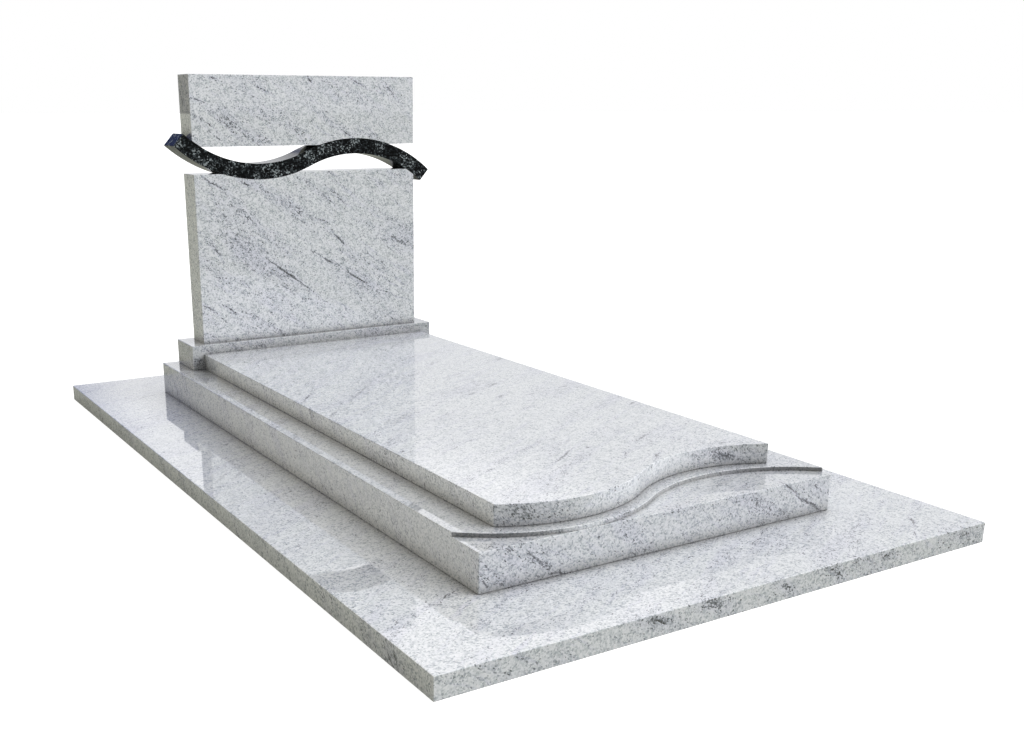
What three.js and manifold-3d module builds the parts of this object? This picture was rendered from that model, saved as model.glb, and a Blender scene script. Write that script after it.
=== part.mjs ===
// A grave monument of polished granite: a base slab, a low kerb block with a wave-shaped step in its top, a
// ledger with a wave-cut foot end, and a headstone in two stones with a black wave band between them.
// Millimetres. +Z is up, +Y points to the head end and +X to the right as seen from the foot end.
// The origin is at the centre of the base slab's underside.

import * as THREE from 'three';
import { mergeVertices } from 'three/addons/utils/BufferGeometryUtils.js';
import Module from 'manifold-3d';

const wasm = await Module();
wasm.setup();

// Base slab
const slabWidth = 1500;
const slabLength = 2500;
const slabThickness = 50;

// Kerb block, and the step in its top
const kerbWidth = 1000;
const kerbLength = 2000;
const kerbHeight = 100;
const kerbStepDepth = 10;
const kerbWave = { radius: 415, reach: 223 };
const kerbWaveFromFoot = 67;

// Ledger
const ledgerWidth = 820;
const ledgerThickness = 50;
const ledgerWave = { radius: 390, reach: 219 };
const ledgerWaveBehindStep = 36;

// Plinth bar under the headstone
const plinthWidth = 900;
const plinthDepth = 150;
const plinthHeight = 80;
const plinthFromHead = 20;

// Headstone
const headstoneWidth = 800;
const headstoneThickness = 100;
const lowerStoneHeight = 545;
const stoneGap = 85;
const upperStoneHeight = 220;

// Wave band
const bandWave = { radius: 410, reach: 172 };
const bandThickness = 50;
const bandDepth = 100;
const bandOverhang = 44;

// Finish of the edges, and the bedding gap in the cut seats
const arris = 2;
const seatGap = 0.3;
const arcSegments = 28;

// Levels and places that follow from the sizes above
const kerbBottom = slabThickness;
const kerbTop = kerbBottom + kerbHeight;
const kerbFoot = -kerbLength / 2;
const kerbHead = kerbLength / 2;
const kerbWaveLine = kerbFoot + kerbWaveFromFoot;
const ledgerTop = kerbTop + ledgerThickness;
const ledgerWaveLine = kerbWaveLine + ledgerWaveBehindStep;
const plinthBack = kerbHead - plinthFromHead;
const plinthFront = plinthBack - plinthDepth;
const plinthTop = kerbTop + plinthHeight;
const headstoneFront = (plinthFront + plinthBack - headstoneThickness) / 2;
const lowerStoneTop = plinthTop + lowerStoneHeight;
const upperStoneBottom = lowerStoneTop + stoneGap;
const bandLine = (lowerStoneTop + upperStoneBottom) / 2;
const bandEnd = headstoneWidth / 2 + bandOverhang;

// A wave is two arcs of one radius that meet in the middle: a trough on the left and a crest on the right, each
// at its reach from the middle. This gives the arcs' centres, measured from the middle of the wave.
function waveCentres({ radius, reach }) {
  const drop = Math.sqrt(radius ** 2 - reach ** 2);
  return { trough: new THREE.Vector2(-reach, drop), crest: new THREE.Vector2(reach, -drop) };
}

// Adds the wave to a path, left to right or back again, moved sideways by offset and lifted by level. Its own line
// ends at halfWidth on both sides of the middle, and moved lines end square beside it.
function addWave(path, wave, { level, halfWidth, offset = 0, backwards = false }) {
  const { trough, crest } = waveCentres(wave);
  const lean = Math.asin(wave.reach / wave.radius);
  const turn = Math.asin((halfWidth - wave.reach) / wave.radius);
  const down = -Math.PI / 2;
  const up = Math.PI / 2;
  const left = [trough.x, trough.y + level, wave.radius - offset, down - turn, down + lean];
  const right = [crest.x, crest.y + level, wave.radius + offset, up + lean, up - turn];
  if (backwards) {
    path.absarc(right[0], right[1], right[2], right[4], right[3], false);
    path.absarc(left[0], left[1], left[2], left[4], left[3], true);
  } else {
    path.absarc(...left, false);
    path.absarc(...right, true);
  }
}

// A slab cut from an outline in X and Y, from bottom to top, with a small flat arris on its edges.
function slabFrom(outline, bottom, top, edge = arris) {
  const geometry = new THREE.ExtrudeGeometry(outline, {
    depth: top - bottom - 2 * edge,
    bevelEnabled: edge > 0,
    bevelThickness: edge,
    bevelSize: edge,
    bevelOffset: -edge,
    bevelSegments: 1,
    curveSegments: arcSegments,
  });
  geometry.translate(0, 0, bottom + edge);
  return geometry;
}

// The same, for an outline in X and Z: an upright stone that is depth thick behind its front face.
function uprightFrom(outline, front, depth, edge = arris) {
  const geometry = slabFrom(outline, 0, depth, edge);
  geometry.rotateX(Math.PI / 2);
  geometry.translate(0, front + depth, 0);
  return geometry;
}

// A rectangle whose four corners are cut back by the arris.
function rectangle(halfWidth, low, high) {
  const outline = new THREE.Shape();
  outline.moveTo(-halfWidth + arris, low);
  outline.lineTo(halfWidth - arris, low);
  outline.lineTo(halfWidth, low + arris);
  outline.lineTo(halfWidth, high - arris);
  outline.lineTo(halfWidth - arris, high);
  outline.lineTo(-halfWidth + arris, high);
  outline.lineTo(-halfWidth, high - arris);
  outline.lineTo(-halfWidth, low + arris);
  outline.closePath();
  return outline;
}

// A plan outline whose foot edge is a wave and whose other three sides are straight.
function wavedPlan(halfWidth, wave, level, head) {
  const outline = new THREE.Shape();
  addWave(outline, wave, { level, halfWidth });
  outline.lineTo(halfWidth, head);
  outline.lineTo(-halfWidth, head);
  outline.closePath();
  return outline;
}

function toSolid(geometry) {
  const bare = geometry.clone();
  bare.deleteAttribute('normal');
  bare.deleteAttribute('uv');
  const merged = mergeVertices(bare, 1e-4);
  const vertProperties = new Float32Array(merged.attributes.position.array);
  const triVerts = new Uint32Array(merged.index.array);
  return new wasm.Manifold(new wasm.Mesh({ numProp: 3, vertProperties, triVerts }));
}

function toGeometry(solid) {
  const { vertProperties, triVerts } = solid.getMesh();
  const indexed = new THREE.BufferGeometry();
  indexed.setAttribute('position', new THREE.BufferAttribute(vertProperties, 3));
  indexed.setIndex(new THREE.BufferAttribute(triVerts, 1));
  const geometry = indexed.toNonIndexed();
  geometry.computeVertexNormals();
  return geometry;
}

// The band's outline in X and Z, between two offsets from its centre line, with ends cut square to the curve.
function bandOutline(below, above) {
  const line = { level: bandLine, halfWidth: bandEnd };
  const outline = new THREE.Shape();
  addWave(outline, bandWave, { ...line, offset: -below });
  addWave(outline, bandWave, { ...line, offset: above, backwards: true });
  outline.closePath();
  return outline;
}

// What a stone loses to seat the band: the band with its bedding gap, made thicker on the side away from the
// stone, and longer in depth than the stone.
function bandSeat(below, above) {
  const front = headstoneFront - bandDepth;
  return toSolid(uprightFrom(bandOutline(below, above), front, headstoneThickness + 2 * bandDepth, 0));
}

function polishedWhiteGranite() {
  return new THREE.MeshStandardMaterial({ color: 0xd3d6da, roughness: 0.12, metalness: 0 });
}

function polishedBlackGranite() {
  return new THREE.MeshStandardMaterial({ color: 0x17191c, roughness: 0.08, metalness: 0 });
}

function stone(name, geometry, material) {
  const mesh = new THREE.Mesh(geometry, material);
  mesh.name = name;
  return mesh;
}

function baseSlab() {
  const outline = rectangle(slabWidth / 2, -slabLength / 2, slabLength / 2);
  return stone('base_slab', slabFrom(outline, 0, slabThickness), polishedWhiteGranite());
}

// One block whose top is sunk by the step's depth from the wave line to the foot end.
function kerb() {
  const block = toSolid(slabFrom(rectangle(kerbWidth / 2, kerbFoot, kerbHead), kerbBottom, kerbTop));
  const beyond = kerbWidth / 2 + kerbStepDepth;
  const sunk = new THREE.Shape();
  addWave(sunk, kerbWave, { level: kerbWaveLine, halfWidth: beyond });
  sunk.lineTo(beyond, kerbFoot - kerbStepDepth);
  sunk.lineTo(-beyond, kerbFoot - kerbStepDepth);
  sunk.closePath();
  const cutter = toSolid(slabFrom(sunk, kerbTop - kerbStepDepth, kerbTop + kerbStepDepth, 0));
  return stone('kerb', toGeometry(block.subtract(cutter)), polishedWhiteGranite());
}

function ledger() {
  const outline = wavedPlan(ledgerWidth / 2, ledgerWave, ledgerWaveLine, plinthFront);
  return stone('ledger', slabFrom(outline, kerbTop, ledgerTop), polishedWhiteGranite());
}

function headstonePlinth() {
  const outline = rectangle(plinthWidth / 2, plinthFront, plinthBack);
  return stone('headstone_plinth', slabFrom(outline, kerbTop, plinthTop), polishedWhiteGranite());
}

function headstoneLower() {
  const outline = rectangle(headstoneWidth / 2, plinthTop, lowerStoneTop);
  const block = toSolid(uprightFrom(outline, headstoneFront, headstoneThickness));
  const seat = bandSeat(bandThickness / 2 + seatGap, bandThickness);
  return stone('headstone_lower', toGeometry(block.subtract(seat)), polishedWhiteGranite());
}

function headstoneUpper() {
  const outline = rectangle(headstoneWidth / 2, upperStoneBottom, upperStoneBottom + upperStoneHeight);
  const block = toSolid(uprightFrom(outline, headstoneFront, headstoneThickness));
  const seat = bandSeat(bandThickness, bandThickness / 2 + seatGap);
  return stone('headstone_upper', toGeometry(block.subtract(seat)), polishedWhiteGranite());
}

function waveBand() {
  const outline = bandOutline(bandThickness / 2, bandThickness / 2);
  return stone('wave_band', uprightFrom(outline, headstoneFront, bandDepth), polishedBlackGranite());
}

const monument = new THREE.Group();
monument.add(baseSlab());
monument.add(kerb());
monument.add(ledger());
monument.add(headstonePlinth());
monument.add(headstoneLower());
monument.add(waveBand());
monument.add(headstoneUpper());

export default monument;
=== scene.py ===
from math import asin, atan2, pi, radians

import bmesh
import bpy
from mathutils import Matrix, Vector


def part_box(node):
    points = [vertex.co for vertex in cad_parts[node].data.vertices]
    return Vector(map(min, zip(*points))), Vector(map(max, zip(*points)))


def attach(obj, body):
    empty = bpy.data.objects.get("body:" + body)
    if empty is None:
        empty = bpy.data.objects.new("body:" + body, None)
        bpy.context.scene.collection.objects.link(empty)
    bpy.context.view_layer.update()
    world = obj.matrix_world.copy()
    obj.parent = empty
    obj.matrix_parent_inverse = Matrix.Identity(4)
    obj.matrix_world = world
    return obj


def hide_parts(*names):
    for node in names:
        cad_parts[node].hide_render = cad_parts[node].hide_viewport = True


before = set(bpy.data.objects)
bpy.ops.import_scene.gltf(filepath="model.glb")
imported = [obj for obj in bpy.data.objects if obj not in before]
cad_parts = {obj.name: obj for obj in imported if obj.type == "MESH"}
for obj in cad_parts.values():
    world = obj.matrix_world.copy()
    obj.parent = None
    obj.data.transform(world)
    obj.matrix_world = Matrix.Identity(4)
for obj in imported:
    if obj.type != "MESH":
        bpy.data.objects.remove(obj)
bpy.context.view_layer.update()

# Base slab: one flat slab of pale gneissic granite, 50 mm thick, sawn and then polished on its top and
# edges. It lies on the ground and carries the whole monument. Its arrises are eased by hand so that they
# don't chip.


def add_block(name, low, high):
    """A sawn block between two corners, with its place in its mesh."""
    bpy.ops.object.select_all(action="DESELECT")
    middle = [(a + b) / 2 for a, b in zip(low, high)]
    span = [b - a for a, b in zip(low, high)]
    bpy.ops.mesh.primitive_cube_add(size=1, location=middle, scale=span)
    block = bpy.context.object
    block.name = name
    bpy.ops.object.transform_apply(location=True, rotation=True, scale=True)
    return block


def ease_arrises(stone, width=0.002):
    """Rounds every outward edge of the stone, as a mason's rubbing block does, and keeps its faces flat."""
    sharper_than = radians(25)
    bpy.context.view_layer.objects.active = stone
    bpy.ops.object.mode_set(mode="EDIT")
    bpy.ops.mesh.select_mode(type="EDGE")
    bpy.ops.mesh.select_all(action="DESELECT")
    mesh = bmesh.from_edit_mesh(stone.data)
    for edge in mesh.edges:
        edge.select_set(edge.is_manifold and edge.calc_face_angle_signed() > sharper_than)
    bmesh.update_edit_mesh(stone.data)
    bpy.ops.mesh.bevel(offset=width, offset_type="OFFSET", segments=3, affect="EDGES", clamp_overlap=True)
    bpy.ops.object.mode_set(mode="OBJECT")
    bpy.ops.object.shade_smooth_by_angle(angle=sharper_than)
    stone.modifiers.new("flat faces", "WEIGHTED_NORMAL").keep_sharp = True
    bpy.ops.object.modifier_apply(modifier="flat faces")


def linear(hex_colour):
    """An sRGB hex value as the linear colour that the shaders take."""
    channels = [int(hex_colour[i:i + 2], 16) / 255 for i in (1, 3, 5)]
    return [c / 12.92 if c <= 0.04045 else ((c + 0.055) / 1.055) ** 2.4 for c in channels] + [1]


def add_node(tree, kind, settings={}, sockets={}):
    """Adds a node, sets what it has, and fills or links its inputs by name or number."""
    node = tree.nodes.new(kind)
    for key, value in settings.items():
        setattr(node, key, value)
    for key, value in sockets.items():
        socket = node.inputs[key]
        if isinstance(value, bpy.types.NodeSocket):
            tree.links.new(value, socket)
        else:
            socket.default_value = value
    return node


def set_stops(ramp, stops):
    """Gives a colour ramp its stops: a list of places and hex colours."""
    elements = ramp.color_ramp.elements
    while len(elements) < len(stops):
        elements.new(1)
    for element, (place, colour) in zip(elements, stops):
        element.position = place
        element.color = linear(colour)


def new_material(name):
    """A bare material: its node tree and its shader."""
    material = bpy.data.materials.new(name)
    material.use_nodes = True
    tree = material.node_tree
    shader = tree.nodes["Principled BSDF"]
    return material, tree, shader


# The stone's bedding is one set of planes through the whole quarry block. Where it meets a front it runs
# down to the right, and where it meets a top it runs away to the right.
bedding_normal = Vector((-0.404, 0.672, -0.621)).normalized()
bedding_across = Vector((0.84, 0, -0.546)).normalized()
bedding_along = bedding_normal.cross(bedding_across).normalized()
bedding_across = bedding_along.cross(bedding_normal)
to_bedding = Matrix((bedding_across, bedding_along, bedding_normal)).to_euler()


def polished_white_granite(name, cut_from, veins, shade=1):
    """Polished white granite: milky feldspar and grey quartz grains of 3 to 4 mm that read as a fine
    mottle, with black mica flakes crowded into violet-grey clouds and thin dark veins along the bedding.
    The polish mirrors what stands on it. cut_from is where in the quarry block this slab was sawn, and
    veins are the dark lenses that show on it: start, end, width and strength, in millimetres. shade below
    1 darkens the whole stone's colour. The colour is greyed in the inner corners too, as painted shade."""
    material, tree, shader = new_material(name)
    place = add_node(tree, "ShaderNodeTexCoord").outputs["Object"]

    # The crystals grew unevenly, which bends every band and vein a little.
    bend = add_node(tree, "ShaderNodeTexNoise", {}, {"Vector": place, "Scale": 1 / 0.045, "Detail": 4})
    bend_centred = add_node(tree, "ShaderNodeVectorMath", {"operation": "SUBTRACT"},
                            {0: bend.outputs["Color"], 1: (0.5, 0.5, 0.5)})
    bend_by = add_node(tree, "ShaderNodeVectorMath", {"operation": "SCALE"},
                       {0: bend_centred.outputs[0], "Scale": 0.022})
    bent = add_node(tree, "ShaderNodeVectorMath", {"operation": "ADD"}, {0: place, 1: bend_by.outputs[0]})

    # Clouds and streaks lie in the bedding: the clouds are some 340 mm long and 60 mm thick, the streaks
    # 160 mm long and 12 mm thick.
    sawn = add_node(tree, "ShaderNodeVectorMath", {"operation": "ADD"}, {0: bent.outputs[0], 1: cut_from})
    beds = add_node(tree, "ShaderNodeMapping", {}, {"Vector": sawn.outputs[0], "Rotation": to_bedding})
    cloud_size = add_node(tree, "ShaderNodeMapping", {},
                          {"Vector": beds.outputs[0], "Scale": (1 / 0.34, 1 / 0.34, 1 / 0.06)})
    cloud_noise = add_node(tree, "ShaderNodeTexNoise", {},
                           {"Vector": cloud_size.outputs[0], "Scale": 1, "Detail": 4, "Roughness": 0.6})
    cloud = add_node(tree, "ShaderNodeMapRange", {"interpolation_type": "SMOOTHSTEP"},
                     {"Value": cloud_noise.outputs[0], "From Min": 0.46, "From Max": 0.7}).outputs[0]
    streak_size = add_node(tree, "ShaderNodeMapping", {},
                           {"Vector": beds.outputs[0], "Scale": (1 / 0.16, 1 / 0.16, 1 / 0.012)})
    streak_noise = add_node(tree, "ShaderNodeTexNoise", {},
                            {"Vector": streak_size.outputs[0], "Scale": 1, "Detail": 3, "Roughness": 0.65})
    streak = add_node(tree, "ShaderNodeMapRange", {"interpolation_type": "SMOOTHSTEP"},
                      {"Value": streak_noise.outputs[0], "From Min": 0.5, "From Max": 0.74}).outputs[0]

    # Each vein is a thin lens of mica. What counts is how far the nearest one is, as a share of its own
    # size, and a weak one keeps its distance.
    nearest = None
    for start, end, width, strength in veins:
        a, b = Vector(start) / 1000, Vector(end) / 1000
        run = b - a
        lies_flat = abs(run.y) > abs(run.z)
        turn = (0, 0, atan2(run.y, run.x)) if lies_flat else (0, -atan2(run.z, run.x), 0)
        half_width, half_depth = width / 2000, 0.05
        thickness = (half_width, half_depth) if lies_flat else (half_depth, half_width)
        lens = add_node(tree, "ShaderNodeMapping", {"vector_type": "TEXTURE"},
                        {"Vector": bent.outputs[0], "Location": (a + b) / 2, "Rotation": turn,
                         "Scale": (run.length * 0.8, *thickness)})
        reach = add_node(tree, "ShaderNodeVectorMath", {"operation": "LENGTH"}, {0: lens.outputs[0]})
        kept_off = add_node(tree, "ShaderNodeMath", {"operation": "ADD"},
                            {0: reach.outputs["Value"], 1: 1 - strength}).outputs[0]
        nearest = kept_off if nearest is None else add_node(
            tree, "ShaderNodeMath", {"operation": "MINIMUM"}, {0: nearest, 1: kept_off}).outputs[0]
    vein = add_node(tree, "ShaderNodeMapRange", {"interpolation_type": "SMOOTHSTEP"},
                    {"Value": nearest, "From Min": 1, "From Max": 0.25}).outputs[0]
    halo = add_node(tree, "ShaderNodeMapRange", {"interpolation_type": "SMOOTHSTEP"},
                    {"Value": nearest, "From Min": 2.2, "From Max": 0.2}).outputs[0]

    # How much mica there is: a little everywhere, more in the clouds and round the veins, most in the
    # clouds' streaks and in the veins themselves.
    streaked = add_node(tree, "ShaderNodeMath", {"operation": "MULTIPLY"}, {0: cloud, 1: streak}).outputs[0]
    mica = 0.02
    for source, share in ((cloud, 0.12), (streak, 0.1), (streaked, 0.6), (halo, 0.14)):
        mica = add_node(tree, "ShaderNodeMath", {"operation": "MULTIPLY_ADD"},
                        {0: source, 1: share, 2: mica}).outputs[0]

    # The flakes keep together in clumps of 10 to 20 mm.
    clumps = add_node(tree, "ShaderNodeTexNoise", {},
                      {"Vector": sawn.outputs[0], "Scale": 1 / 0.016, "Detail": 3, "Roughness": 0.6})
    clumped = add_node(tree, "ShaderNodeMapRange", {},
                       {"Value": clumps.outputs[0], "From Min": 0.35, "From Max": 0.68,
                        "To Min": 0.2, "To Max": 2.2})
    mica = add_node(tree, "ShaderNodeMath", {"operation": "MULTIPLY"},
                    {0: mica, 1: clumped.outputs[0]}).outputs[0]

    # The level tops, which are polished the longest, show fewer flakes, but not in the veins.
    normal = add_node(tree, "ShaderNodeSeparateXYZ", {},
                      {0: add_node(tree, "ShaderNodeNewGeometry").outputs["Normal"]}).outputs["Z"]
    kept = add_node(tree, "ShaderNodeMapRange", {},
                    {"Value": normal, "From Min": 0.6, "From Max": 1, "To Min": 1, "To Max": 0.6})
    mica = add_node(tree, "ShaderNodeMath", {"operation": "MULTIPLY"},
                    {0: mica, 1: kept.outputs[0]}).outputs[0]
    mica = add_node(tree, "ShaderNodeMath", {"operation": "MULTIPLY_ADD"},
                    {0: vein, 1: 0.8, 2: mica}).outputs[0]

    # Feldspar and quartz grains, 3.5 mm across, with ragged edges.
    ragged = add_node(tree, "ShaderNodeTexNoise", {}, {"Vector": place, "Scale": 1 / 0.003, "Detail": 1})
    ragged_by = add_node(tree, "ShaderNodeVectorMath", {"operation": "SCALE"},
                         {0: ragged.outputs["Color"], "Scale": 0.0025})
    grain_place = add_node(tree, "ShaderNodeVectorMath", {"operation": "ADD"},
                           {0: place, 1: ragged_by.outputs[0]})
    grains = add_node(tree, "ShaderNodeTexVoronoi", {},
                      {"Vector": grain_place.outputs[0], "Scale": 1 / 0.0035})
    grain_draw = add_node(tree, "ShaderNodeSeparateColor", {}, {0: grains.outputs["Color"]})
    quartz = add_node(tree, "ShaderNodeMath", {"operation": "MULTIPLY_ADD"},
                      {0: clumps.outputs[0], 1: -0.7, 2: 0.35})
    grain_mix = add_node(tree, "ShaderNodeMath", {"operation": "MULTIPLY_ADD"},
                         {0: grain_draw.outputs[0], 1: 0.7, 2: quartz.outputs[0]})
    ground = add_node(tree, "ShaderNodeValToRGB", {}, {0: grain_mix.outputs[0]})
    set_stops(ground, [(0.03, "#9aa0a5"), (0.16, "#b6bbc0"), (0.34, "#cacdd1"), (0.6, "#d9dbde")])

    # The clouds, and the stone round a vein, turn violet-grey, and the vein's own middle is a dark line.
    stained = add_node(tree, "ShaderNodeMath", {"operation": "MAXIMUM"}, {0: cloud, 1: halo})
    violet = add_node(tree, "ShaderNodeMath", {"operation": "MAXIMUM"}, {0: stained.outputs[0], 1: streak})
    violet_by = add_node(tree, "ShaderNodeMath", {"operation": "MULTIPLY"}, {0: violet.outputs[0], 1: 0.38})
    tinted = add_node(tree, "ShaderNodeMix", {"data_type": "RGBA", "blend_type": "MULTIPLY"},
                      {0: violet_by.outputs[0], 6: ground.outputs[0], 7: linear("#dedcf2")})
    core = add_node(tree, "ShaderNodeMapRange", {"interpolation_type": "SMOOTHSTEP"},
                    {"Value": vein, "From Min": 0.5, "From Max": 1, "To Max": 0.45})
    greyed = add_node(tree, "ShaderNodeMix", {"data_type": "RGBA"},
                      {0: core.outputs[0], 6: tinted.outputs[2], 7: linear("#444856")})

    # Mica flakes: a grain is one where its own draw falls within the share of mica at its place. They are
    # blackest in the veins.
    flake_beds = add_node(tree, "ShaderNodeMapping", {},
                          {"Vector": grain_place.outputs[0], "Rotation": to_bedding})
    flake_size = add_node(tree, "ShaderNodeMapping", {},
                          {"Vector": flake_beds.outputs[0], "Scale": (1 / 0.0045, 1 / 0.0045, 1 / 0.002)})
    flakes = add_node(tree, "ShaderNodeTexVoronoi", {}, {"Vector": flake_size.outputs[0], "Scale": 1})
    flake_draw = add_node(tree, "ShaderNodeSeparateColor", {}, {0: flakes.outputs["Color"]})
    flake = add_node(tree, "ShaderNodeMath", {"operation": "SUBTRACT"}, {0: mica, 1: flake_draw.outputs[1]})
    is_flake = add_node(tree, "ShaderNodeMapRange", {},
                        {"Value": flake.outputs[0], "From Min": -0.02, "From Max": 0.04}).outputs[0]
    blackness = add_node(tree, "ShaderNodeMath", {"operation": "MULTIPLY_ADD"},
                         {0: vein, 1: -0.3, 2: flake_draw.outputs[2]})
    flake_tone = add_node(tree, "ShaderNodeValToRGB", {}, {0: blackness.outputs[0]})
    set_stops(flake_tone, [(0, "#34373d"), (0.35, "#666a71"), (1, "#a3a6ad")])
    stone = add_node(tree, "ShaderNodeMix", {"data_type": "RGBA"},
                     {0: is_flake, 6: greyed.outputs[2], 7: flake_tone.outputs[0]})

    # Painted shade: the colour is greyed in the inner corners, where one stone stands on another, as far as
    # the stones round a point hide the sky within 50 mm. The same mix darkens the whole stone by shade.
    corner = add_node(tree, "ShaderNodeAmbientOcclusion", {"samples": 8}, {"Distance": 0.05})
    unoccluded = add_node(tree, "ShaderNodeMapRange", {"interpolation_type": "SMOOTHSTEP"},
                     {"Value": corner.outputs["AO"], "From Min": 0.4, "From Max": 0.95})
    painted_shade = add_node(tree, "ShaderNodeMix", {"data_type": "RGBA"},
                     {0: unoccluded.outputs[0], 6: linear("#a9a8a5"), 7: (shade, shade, shade, 1)})
    shaded_stone = add_node(tree, "ShaderNodeMix", {"data_type": "RGBA", "blend_type": "MULTIPLY"},
                         {0: 1, 6: stone.outputs[2], 7: painted_shade.outputs[2]})
    tree.links.new(shaded_stone.outputs[2], shader.inputs["Base Color"])

    # Mica takes the polish less well than feldspar and quartz.
    gloss = add_node(tree, "ShaderNodeMapRange", {}, {"Value": is_flake, "To Min": 0.025, "To Max": 0.14})
    tree.links.new(gloss.outputs[0], shader.inputs["Roughness"])
    shader.inputs["IOR"].default_value = 1.54

    # A clear sealer lies on the polish and mirrors what stands on it once more. Its IOR is set above a
    # resin's, so that the mirror images come out as strong as they are in the real stone.
    shader.inputs["Coat Weight"].default_value = 1
    shader.inputs["Coat IOR"].default_value = 1.8
    shader.inputs["Coat Roughness"].default_value = 0.02
    return material


def fit_stone(stone, material, node):
    """Dresses the stone and sets it in its place in the monument, where it stands for the plain solid."""
    stone.data.materials.clear()
    stone.data.materials.append(material)
    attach(stone, "root")
    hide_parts(node)


slab_low, slab_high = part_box("base_slab")
base_slab = add_block("polished_base_slab", slab_low, slab_high)
ease_arrises(base_slab)
slab_veins = [
    ((-635, 925, 50), (-510, 995, 50), 12, 0.8),
    ((-640, 750, 50), (-585, 780, 50), 18, 0.5),
    ((-710, 510, 50), (-675, 525, 50), 10, 0.6),
    ((-590, -995, 50), (-520, -950, 50), 12, 0.8),
    ((625, -1140, 50), (590, -1175, 50), 12, 0.9),
    ((560, -1200, 50), (525, -1235, 50), 10, 0.7),
    ((445, -1020, 50), (300, -1110, 50), 22, 0.5),
    ((635, -1045, 50), (680, -1025, 50), 26, 0.5),
    ((-300, -1250, 46), (-200, -1250, 16), 40, 0.55),
    ((-145, -1250, 48), (-65, -1250, 22), 40, 0.6),
    ((70, -1250, 42), (130, -1250, 12), 34, 0.55),
    ((225, -1250, 48), (275, -1250, 8), 40, 0.6),
    ((380, -1250, 46), (440, -1250, 30), 26, 0.6),
    ((620, -1250, 44), (735, -1250, 22), 44, 0.5),
]
slab_granite = polished_white_granite("polished white granite, base slab", (0.31, 0.12, 0.05), slab_veins)
fit_stone(base_slab, slab_granite, "base_slab")

# Kerb: a low block of the same granite, bedded on the slab. Near the foot end its top is cut down by 10 mm
# as far as a wave, which the machine milled in two arcs of one radius, and the whole is polished.
kerb_step_depth = 0.010
kerb_wave_radius = 0.415
kerb_wave_reach = 0.223
kerb_wave_from_foot = 0.067


def wave_drop(radius, reach):
    """How far each arc's centre lies from the line through the middle of the wave."""
    return (radius ** 2 - reach ** 2) ** 0.5


def add_waved_slab(name, radius, reach, half_width, line, bottom, top, back):
    """A slab between two levels, from a wave to a straight back edge. An upright edge in the middle of the
    wave is swung round the centres of its two arcs, and the wall that it leaves is drawn out to the
    back."""
    height = top - bottom
    steps = 48
    sweep = asin(reach / radius) + asin((half_width - reach) / radius)
    drop = wave_drop(radius, reach)
    bpy.ops.object.select_all(action="DESELECT")
    bpy.ops.mesh.primitive_plane_add(size=height, location=(height / 2, line, bottom + height / 2),
                                     rotation=(pi / 2, 0, 0))
    slab = bpy.context.object
    slab.name = name
    bpy.ops.object.transform_apply(location=True, rotation=True, scale=True)
    bpy.ops.object.mode_set(mode="EDIT")
    bpy.ops.mesh.select_mode(type="VERT")
    bpy.ops.mesh.select_all(action="DESELECT")
    mesh = bmesh.from_edit_mesh(slab.data)
    for vert in mesh.verts:
        vert.select_set(vert.co.x > height / 2)
    bmesh.update_edit_mesh(slab.data)
    bpy.ops.mesh.delete(type="VERT")
    for centre in ((-reach, line + drop, 0), (reach, line - drop, 0)):
        bpy.ops.mesh.select_all(action="DESELECT")
        mesh = bmesh.from_edit_mesh(slab.data)
        for vert in mesh.verts:
            vert.select_set(abs(vert.co.x) < 1e-6)
        mesh.select_flush(True)
        bmesh.update_edit_mesh(slab.data)
        bpy.ops.mesh.spin(steps=steps, angle=sweep, center=centre, axis=(0, 0, 1))
    bpy.ops.mesh.select_all(action="SELECT")
    bpy.ops.mesh.remove_doubles(threshold=1e-5)
    bpy.ops.mesh.extrude_region_move(TRANSFORM_OT_translate={"value": (0, back - line, 0)})
    bpy.ops.transform.resize(value=(1, 0, 1), center_override=(0, back, 0))
    bpy.ops.mesh.select_all(action="SELECT")
    bpy.ops.mesh.normals_make_consistent(inside=False)
    bpy.ops.mesh.dissolve_limited(angle_limit=radians(0.2))
    bpy.ops.object.mode_set(mode="OBJECT")
    return slab


def cut_away(stone, cutter):
    """Takes the cutter's shape out of the stone, and the cutter away."""
    cut = stone.modifiers.new("cut", "BOOLEAN")
    cut.operation = "DIFFERENCE"
    cut.solver = "EXACT"
    cut.object = cutter
    bpy.context.view_layer.objects.active = stone
    bpy.ops.object.modifier_apply(modifier="cut")
    bpy.data.objects.remove(cutter)


kerb_low, kerb_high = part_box("kerb")
kerb_wave_line = kerb_low[1] + kerb_wave_from_foot
past_kerb = 0.010
kerb = add_block("stepped_kerb", kerb_low, kerb_high)
step_cutter = add_waved_slab("step_cutter", kerb_wave_radius, kerb_wave_reach, kerb_high[0] + past_kerb,
                             kerb_wave_line, kerb_high[2] - kerb_step_depth, kerb_high[2] + past_kerb,
                             kerb_low[1] - past_kerb)
cut_away(kerb, step_cutter)
ease_arrises(kerb)
kerb_veins = [
    ((-380, -1000, 112), (-330, -1000, 70), 22, 0.75),
    ((-335, -1000, 58), (-275, -1000, 52), 12, 0.8),
    ((-460, -1000, 143), (-405, -1000, 126), 14, 0.6),
    ((-498, -1000, 82), (-478, -1000, 57), 12, 0.7),
    ((345, -1000, 142), (390, -1000, 106), 10, 0.95),
    ((385, -1000, 108), (480, -1000, 47), 10, 0.95),
    ((420, -1000, 130), (490, -1000, 95), 50, 0.4),
    ((-20, -1000, 139), (60, -1000, 134), 22, 0.4),
    ((230, -1000, 103), (245, -1000, 84), 12, 0.5),
]
kerb_cut_from = (0.9, 0.47, 0.3)
kerb_shade = 0.9
kerb_granite = polished_white_granite("polished white granite, kerb", kerb_cut_from, kerb_veins, kerb_shade)
fit_stone(kerb, kerb_granite, "kerb")
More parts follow.
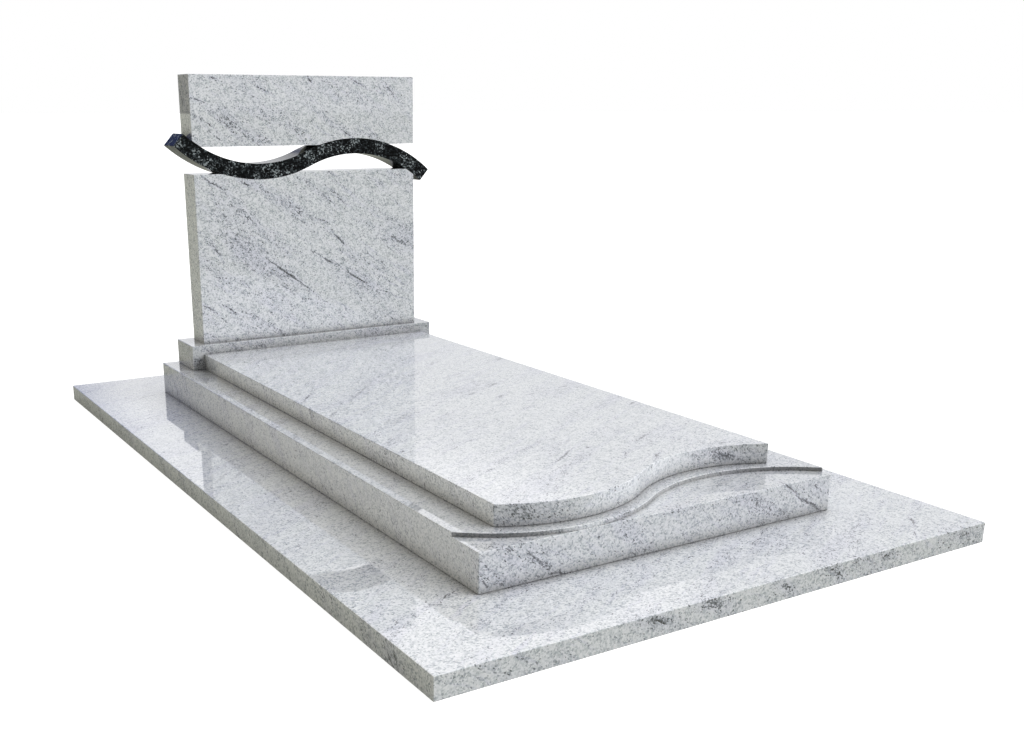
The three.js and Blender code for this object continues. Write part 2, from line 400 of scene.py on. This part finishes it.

# Painted shade on the step's wall: its colour is darkened by which way it faces. Where the wall is turned
# to the left, away from the key light, its colour falls to 0.38 of the stone's and reads as a dark line;
# elsewhere it keeps 0.88 and is hardly seen.
shaded_wall_granite = polished_white_granite("white granite with painted shade, kerb step", kerb_cut_from, kerb_veins,
                                        kerb_shade)
shaded_wall_tree = shaded_wall_granite.node_tree
shaded_wall_shader = shaded_wall_tree.nodes["Principled BSDF"]
wall_unshaded_colour = shaded_wall_shader.inputs["Base Color"].links[0].from_socket
wall_normal = add_node(shaded_wall_tree, "ShaderNodeNewGeometry").outputs["Normal"]
turned = add_node(shaded_wall_tree, "ShaderNodeSeparateXYZ", {}, {0: wall_normal}).outputs["X"]
wall_painted_shade = add_node(shaded_wall_tree, "ShaderNodeMapRange", {},
                    {"Value": turned, "From Min": -0.4, "From Max": -0.08, "To Min": 0.38, "To Max": 0.88})
wall_shaded_colour = add_node(shaded_wall_tree, "ShaderNodeVectorMath", {"operation": "SCALE"},
                         {0: wall_unshaded_colour, "Scale": wall_painted_shade.outputs[0]})
shaded_wall_tree.links.new(wall_shaded_colour.outputs[0], shaded_wall_shader.inputs["Base Color"])
# The wall's faces inside the arrises take the material with the painted shade.
kerb.data.materials.append(shaded_wall_granite)
past_arris = 0.003
for face in kerb.data.polygons:
    is_wall = face.center.z > kerb_high[2] - kerb_step_depth and abs(face.normal.z) < 0.5
    is_inside = abs(face.center.x) < kerb_high[0] - past_arris and face.center.y > kerb_low[1] + past_arris
    if is_wall and is_inside:
        face.material_index = 1

# Ledger: the polished cover slab, 50 mm thick, bedded on the kerb. Its foot end is cut to a wave that
# follows the step in the kerb, 36 mm behind it, and its sides and arrises are polished like its top.
ledger_wave_radius = 0.390
ledger_wave_reach = 0.219
ledger_wave_behind_step = 0.036

ledger_low, ledger_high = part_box("ledger")
ledger = add_waved_slab("wave_ended_ledger", ledger_wave_radius, ledger_wave_reach, ledger_high[0],
                        kerb_wave_line + ledger_wave_behind_step, ledger_low[2], ledger_high[2],
                        ledger_high[1])
ease_arrises(ledger)
ledger_veins = [
    ((-140, -750, 200), (-20, -670, 200), 12, 0.9),
    ((140, -705, 200), (220, -660, 200), 16, 0.7),
    ((90, -840, 200), (130, -805, 200), 14, 0.9),
    ((365, -410, 200), (400, -390, 200), 18, 0.8),
    ((-310, -725, 200), (-265, -705, 200), 16, 0.6),
    ((-400, -770, 200), (-330, -730, 200), 20, 0.5),
    ((5, -690, 200), (20, -680, 200), 14, 0.9),
    ((40, -785, 200), (70, -755, 200), 14, 0.7),
    ((300, -150, 200), (375, -140, 200), 26, 0.5),
    ((95, -300, 200), (135, -280, 200), 18, 0.6),
    ((-170, -270, 200), (-90, -230, 200), 22, 0.5),
    ((280, -810, 200), (360, -825, 200), 30, 0.5),
    ((365, 255, 200), (415, 290, 200), 26, 0.8),
    ((140, 300, 200), (185, 345, 200), 30, 0.5),
    ((120, 130, 200), (190, 170, 200), 30, 0.5),
    ((130, -45, 200), (215, 5, 200), 22, 0.7),
    ((30, -100, 200), (90, -70, 200), 22, 0.7),
    ((95, -165, 200), (140, -130, 200), 22, 0.8),
    ((180, -190, 200), (230, -155, 200), 22, 0.6),
    ((10, 195, 200), (45, 220, 200), 24, 0.7),
    ((-400, -495, 200), (-375, -475, 200), 18, 0.7),
    ((-380, 100, 200), (-340, 140, 200), 24, 0.7),
    ((-345, 580, 200), (-270, 660, 200), 30, 0.5),
    ((-215, -490, 200), (-175, -480, 200), 18, 0.6),
    ((-400, -925, 192), (-290, -955, 168), 26, 0.5),
    ((250, -830, 192), (350, -845, 162), 44, 0.7),
    ((355, -845, 195), (410, -835, 165), 44, 0.5),
]
ledger_granite = polished_white_granite("polished white granite, ledger", (0.05, 0.83, 0.21), ledger_veins)
fit_stone(ledger, ledger_granite, "ledger")

# Plinth: the bar of granite, 80 mm high, that lies across the kerb behind the ledger and carries the
# headstone. Its front, ends and top are polished.
plinth_low, plinth_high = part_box("headstone_plinth")
plinth = add_block("headstone_plinth_bar", plinth_low, plinth_high)
ease_arrises(plinth)
plinth_veins = [((-410, 830, 220), (-370, 830, 190), 12, 0.6)]
# Its colour is darkened to 0.75 of the stone's: painted shade, for the shade it stands in, low between the
# ledger and the headstone.
plinth_granite = polished_white_granite("polished white granite, plinth", (0.55, 0.2, 0.71), plinth_veins,
                                        0.75)
fit_stone(plinth, plinth_granite, "headstone_plinth")

# Wave band: a bar of polished black granite, 50 mm thick and as deep as the headstone, sawn to two arcs of
# one radius and cut square at its ends. It lies in seats cut in the two stones and reaches past them on
# both sides.
band_wave_radius = 0.410
band_wave_reach = 0.172
band_thickness = 0.050
band_overhang = 0.044
band_seat_gap = 0.0003

lower_low, lower_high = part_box("headstone_lower")
upper_low, upper_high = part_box("headstone_upper")
band_low, band_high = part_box("wave_band")
band_line = (lower_high[2] + upper_low[2]) / 2
band_half_width = lower_high[0] + band_overhang


def add_wave_bar(name, below, above, front, back):
    """A bar that follows the band's centre line, from below to above it and from front to back. Its section
    is swung round the centres of the two arcs, and its ends are closed."""
    steps = 56
    lean = asin(band_wave_reach / band_wave_radius)
    sweep = lean + asin((band_half_width - band_wave_reach) / band_wave_radius)
    drop = wave_drop(band_wave_radius, band_wave_reach)
    bpy.ops.object.select_all(action="DESELECT")
    bpy.ops.mesh.primitive_plane_add(size=1, location=(0, (front + back) / 2, (above - below) / 2),
                                     rotation=(0, pi / 2, 0))
    bar = bpy.context.object
    bar.name = name
    bpy.ops.object.transform_apply(location=False, rotation=True, scale=False)
    bar.scale = (1, back - front, above + below)
    bpy.ops.object.transform_apply(location=True, rotation=False, scale=True)
    bar.rotation_euler = (0, -lean, 0)
    bar.location = (0, 0, band_line)
    bpy.ops.object.transform_apply(location=True, rotation=True, scale=True)
    bpy.ops.object.mode_set(mode="EDIT")
    bpy.ops.mesh.select_mode(type="VERT")
    bpy.ops.mesh.select_all(action="SELECT")
    bpy.ops.mesh.delete(type="ONLY_FACE")
    mesh = bmesh.from_edit_mesh(bar.data)
    section = [vert.co.copy() for vert in mesh.verts]
    for centre in ((-band_wave_reach, 0, band_line + drop), (band_wave_reach, 0, band_line - drop)):
        bpy.ops.mesh.select_all(action="DESELECT")
        mesh = bmesh.from_edit_mesh(bar.data)
        for vert in mesh.verts:
            vert.select_set(min((vert.co - corner).length for corner in section) < 1e-6)
        mesh.select_flush(True)
        bmesh.update_edit_mesh(bar.data)
        bpy.ops.mesh.spin(steps=steps, angle=-sweep, center=centre, axis=(0, 1, 0))
        bpy.ops.mesh.edge_face_add()
    bpy.ops.mesh.select_all(action="SELECT")
    bpy.ops.mesh.remove_doubles(threshold=1e-6)
    bpy.ops.mesh.normals_make_consistent(inside=False)
    bpy.ops.mesh.dissolve_limited(angle_limit=radians(0.2))
    bpy.ops.object.mode_set(mode="OBJECT")
    return bar


def polished_black_granite(name):
    """Polished black granite: near-black feldspar grains of about 4 mm, greyed by quartz, with pale
    blotches where the feldspar is white. It isn't sealed, and mirrors so little that its front stays black,
    so its IOR is low."""
    material, tree, shader = new_material(name)
    place = add_node(tree, "ShaderNodeTexCoord").outputs["Object"]
    ragged = add_node(tree, "ShaderNodeTexNoise", {}, {"Vector": place, "Scale": 1 / 0.006, "Detail": 2})
    ragged_by = add_node(tree, "ShaderNodeVectorMath", {"operation": "SCALE"},
                         {0: ragged.outputs["Color"], "Scale": 0.007})
    grain_place = add_node(tree, "ShaderNodeVectorMath", {"operation": "ADD"},
                           {0: place, 1: ragged_by.outputs[0]})
    grains = add_node(tree, "ShaderNodeTexVoronoi", {},
                      {"Vector": grain_place.outputs[0], "Scale": 1 / 0.004})
    draw = add_node(tree, "ShaderNodeSeparateColor", {}, {0: grains.outputs["Color"]})
    patch = add_node(tree, "ShaderNodeTexNoise", {}, {"Vector": place, "Scale": 1 / 0.03, "Detail": 2})
    patch_part = add_node(tree, "ShaderNodeMath", {"operation": "MULTIPLY"}, {0: patch.outputs[0], 1: 0.75})
    pale = add_node(tree, "ShaderNodeMath", {"operation": "MULTIPLY_ADD"},
                    {0: draw.outputs[0], 1: 0.6, 2: patch_part.outputs[0]})
    colour = add_node(tree, "ShaderNodeValToRGB", {}, {0: pale.outputs[0]})
    set_stops(colour, [(0.62, "#08090b"), (0.8, "#202426"), (0.92, "#474d50"), (1, "#888f91")])
    tree.links.new(colour.outputs[0], shader.inputs["Base Color"])
    shader.inputs["Roughness"].default_value = 0.05
    shader.inputs["IOR"].default_value = 1.2
    return material


wave_band = add_wave_bar("black_wave_band", band_thickness / 2, band_thickness / 2, band_low[1], band_high[1])
ease_arrises(wave_band)
band_granite = polished_black_granite("polished black granite, wave band")
fit_stone(wave_band, band_granite, "wave_band")

# Headstone: two upright stones of white granite, 100 mm thick and polished all round. The lower one stands
# on the plinth. The band lies in a seat cut in each, and holds the upper stone clear of the lower one.
through = 0.050
lower_stone = add_block("lower_headstone", lower_low, lower_high)
lower_seat = add_wave_bar("lower_seat", band_thickness / 2 + band_seat_gap, band_thickness,
                          lower_low[1] - through, lower_high[1] + through)
cut_away(lower_stone, lower_seat)
ease_arrises(lower_stone)
lower_veins = [
    ((-165, 855, 500), (-10, 855, 380), 10, 0.95),
    ((20, 855, 620), (65, 855, 605), 12, 0.75),
    ((70, 855, 580), (135, 855, 515), 10, 0.85),
    ((30, 855, 495), (85, 855, 460), 10, 0.8),
    ((125, 855, 440), (215, 855, 375), 10, 0.9),
    ((215, 855, 375), (355, 855, 320), 10, 0.55),
    ((-375, 855, 770), (-295, 855, 720), 14, 0.75),
    ((-300, 855, 715), (-135, 855, 540), 50, 0.4),
    ((-395, 855, 360), (-355, 855, 330), 12, 0.8),
    ((-320, 855, 345), (-270, 855, 315), 12, 0.8),
    ((-360, 855, 560), (-325, 855, 505), 16, 0.6),
    ((270, 855, 545), (365, 855, 520), 36, 0.4),
    ((-245, 855, 750), (-210, 855, 730), 12, 0.8),
    ((90, 855, 695), (145, 855, 655), 12, 0.7),
    ((-120, 855, 410), (-80, 855, 380), 24, 0.5),
]
lower_granite = polished_white_granite("polished white granite, lower stone", (0.62, 0.0, 0.11), lower_veins)
fit_stone(lower_stone, lower_granite, "headstone_lower")

upper_stone = add_block("upper_headstone", upper_low, upper_high)
upper_seat = add_wave_bar("upper_seat", band_thickness, band_thickness / 2 + band_seat_gap,
                          upper_low[1] - through, upper_high[1] + through)
cut_away(upper_stone, upper_seat)
ease_arrises(upper_stone)
upper_veins = [
    ((-335, 855, 1070), (-300, 855, 1060), 14, 0.65),
    ((-180, 855, 1050), (-130, 855, 1020), 12, 0.65),
    ((5, 855, 1080), (20, 855, 1055), 12, 0.9),
    ((155, 855, 1080), (215, 855, 1045), 16, 0.65),
    ((285, 855, 1060), (340, 855, 1005), 20, 0.6),
    ((-400, 855, 1015), (-355, 855, 995), 10, 0.7),
    ((-325, 855, 965), (-240, 855, 885), 22, 0.6),
    ((-65, 855, 930), (-15, 855, 870), 12, 0.6),
    ((120, 855, 910), (160, 855, 885), 10, 0.8),
    ((220, 855, 915), (260, 855, 880), 12, 0.6),
]
upper_granite = polished_white_granite("polished white granite, upper stone", (1.2, 0.33, 0.4), upper_veins)
fit_stone(upper_stone, upper_granite, "headstone_upper")

# Studio: a plain white floor that runs on to the horizon, lit a little from within like a light table, so
# that its shadows stay pale. A soft dome hangs over it: bright on the right, where the key light stands,
# white low behind the monument's right, blue behind it, and dim and warm elsewhere.
bpy.ops.object.select_all(action="DESELECT")
bpy.ops.mesh.primitive_plane_add(size=400)
floor = bpy.context.object
floor.name = "studio_floor"
floor.visible_shadow = False
floor_paint, floor_tree, floor_shader = new_material("white studio light table")
floor_seen = add_node(floor_tree, "ShaderNodeLightPath").outputs["Is Camera Ray"]
floor_tone = add_node(floor_tree, "ShaderNodeMix", {"data_type": "RGBA"},
                      {0: floor_seen, 6: linear("#97998f"), 7: linear("#aaaaaa")})
floor_glow = add_node(floor_tree, "ShaderNodeMath", {"operation": "MULTIPLY"}, {0: floor_seen, 1: 0.85})
floor_tree.links.new(floor_tone.outputs[2], floor_shader.inputs["Base Color"])
floor_tree.links.new(floor_glow.outputs[0], floor_shader.inputs["Emission Strength"])
floor_shader.inputs["Emission Color"].default_value = (1, 1, 1, 1)
floor_shader.inputs["Roughness"].default_value = 1
floor_shader.inputs["Specular IOR Level"].default_value = 0
floor.data.materials.append(floor_paint)

world = bpy.data.worlds.new("soft studio dome")
bpy.context.scene.world = world
world.use_nodes = True
sky = world.node_tree

# Each soft patch of the dome is laid over the last ones: its middle, the cosines of the angles from there
# at which it begins and is full, and its tone. The last one keeps all below the horizon dark. In the polish
# the key light shows no brighter than white card, so that it doesn't glare from behind.
key = (0.72, -0.416, 0.555)
patches = [
    ((0, 0, 1), 0, 0.4, (0.3, 0.295, 0.275)),
    ((-0.9, 0.3, 0.35), 0.5, 1, (1.25, 1.2, 1.06)),
    (key, -0.2, 1, (0.8, 0.81, 0.83)),
    (key, 0.8, 1, (6.1, 6.1, 6.15)),
    ((0.576, 0.793, 0.2), 0.6, 0.92, (0.75, 0.76, 0.78)),
    ((0.424, 0.734, 0.53), 0.958, 0.972, (1.05, 1.05, 1.07)),
    ((0.24, 0.94, 0.22), 0.98, 0.995, (0.95, 0.96, 1)),
    ((-0.035, 0.927, 0.375), 0.945, 0.97, (0.1, 0.14, 0.36)),
    ((0, 0, -1), 0, 0.01, (0, 0, 0)),
]
look = add_node(sky, "ShaderNodeTexCoord").outputs["Generated"]
dome = (0, 0, 0, 1)
for middle, begins, full, tone in patches:
    facing = add_node(sky, "ShaderNodeVectorMath", {"operation": "DOT_PRODUCT"},
                      {0: look, 1: Vector(middle).normalized()})
    fade = add_node(sky, "ShaderNodeMapRange", {"interpolation_type": "SMOOTHSTEP"},
                    {"Value": facing.outputs["Value"], "From Min": begins, "From Max": full})
    dome = add_node(sky, "ShaderNodeMix", {"data_type": "RGBA"},
                    {0: fade.outputs[0], 6: dome, 7: (*tone, 1)}).outputs[2]
path = add_node(sky, "ShaderNodeLightPath")
mirrored = add_node(sky, "ShaderNodeMix", {"data_type": "RGBA", "blend_type": "DARKEN"},
                    {0: path.outputs["Is Glossy Ray"], 6: dome, 7: (1.15, 1.15, 1.15, 1)})
backdrop = add_node(sky, "ShaderNodeMix", {"data_type": "RGBA"},
                    {0: path.outputs["Is Camera Ray"], 6: mirrored.outputs[2], 7: (1, 1, 1, 1)})
sky.links.new(backdrop.outputs[2], sky.nodes["Background"].inputs["Color"])
bpy.context.scene.view_settings.view_transform = "Standard"

# Camera: it stands to the left of the foot end, a little under a metre up, and looks down over the ledger.
# The lens is shifted by as much as the photograph's framing asks for.
picture_width = 1024
picture_height = 747
view_centre_x = 440.42
view_centre_y = 459.64
focal_length_in_pixels = 1148.94
camera_place = (-1.6411, -2.7778, 0.9792)
camera_yaw = 0.5348
camera_pitch = -0.2972
sensor_width = 36

bpy.ops.object.camera_add(location=camera_place, rotation=(pi / 2 + camera_pitch, 0, -camera_yaw))
camera = bpy.context.object
camera.name = "photograph_view"
camera.data.sensor_width = sensor_width
camera.data.lens = focal_length_in_pixels * sensor_width / picture_width
camera.data.shift_x = (picture_width / 2 - view_centre_x) / picture_width
camera.data.shift_y = (view_centre_y - picture_height / 2) / picture_width
bpy.context.scene.camera = camera
